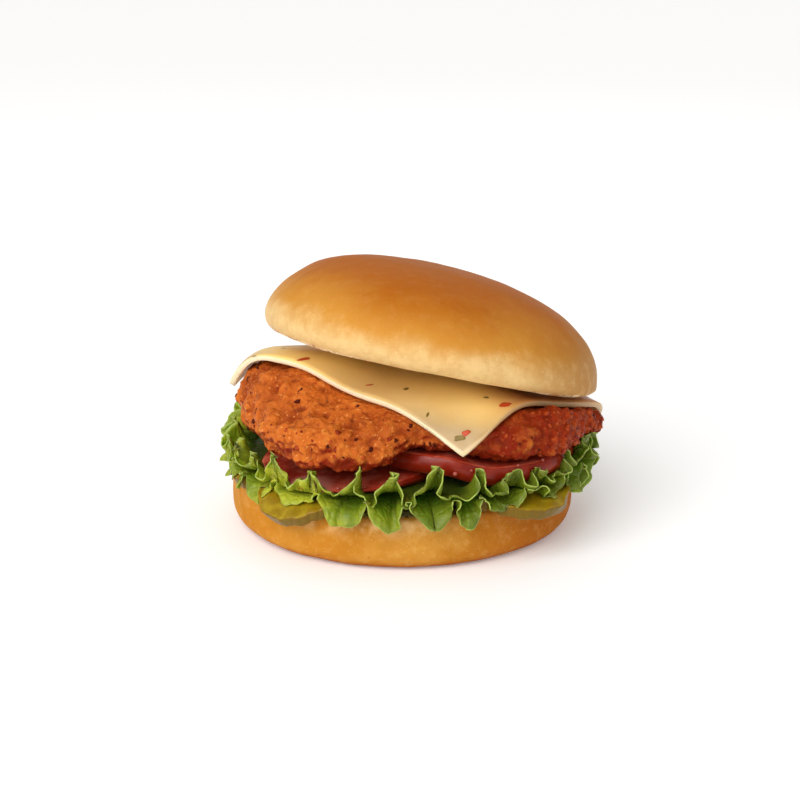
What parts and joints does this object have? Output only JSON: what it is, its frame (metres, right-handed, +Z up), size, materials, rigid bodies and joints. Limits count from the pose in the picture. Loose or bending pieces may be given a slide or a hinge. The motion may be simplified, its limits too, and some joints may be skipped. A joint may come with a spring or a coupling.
{
  "type": "chicken burger",
  "caption": "Chicken burger: a breaded fillet under a draped cheese slice, on tomato, frilly lettuce and crinkle-cut pickles, in a glossy round bun whose crown leans to one side.",
  "frame": {"origin": "centre of the flat base of the bun's heel, on the surface it stands on", "axes": "+Z up through the stack, -Y is the front that is served to the guest, +X is the side that the crown leans down to"},
  "size_m": [0.1182, 0.118, 0.0818],
  "materials": {
    "bun_crust": "soft baked crust with a slight egg-wash gloss, golden brown on top and pale cream low on the sides",
    "pickle": "wet olive-green pickled cucumber, crinkle cut",
    "lettuce": "fresh leaf, satin, slightly see-through at the frilled margin",
    "tomato": "wet red skin and pink cut flesh",
    "chicken_breading": "craggy fried breading, orange-red with dark pepper specks and small oily glints",
    "cheese": "smooth pale yellow slice with red and green pepper flecks, softly shiny"
  },
  "bodies": {
    "root": {"heel": "bun_crust", "pickle_left": "pickle", "pickle_front_left": "pickle", "pickle_front_right": "pickle", "pickle_back": "pickle", "lettuce": "lettuce", "tomato_left": "tomato", "tomato_right": "tomato", "chicken_fillet": "chicken_breading", "cheese_slice": "cheese", "crown": "bun_crust"}
  },
  "joints": []
}
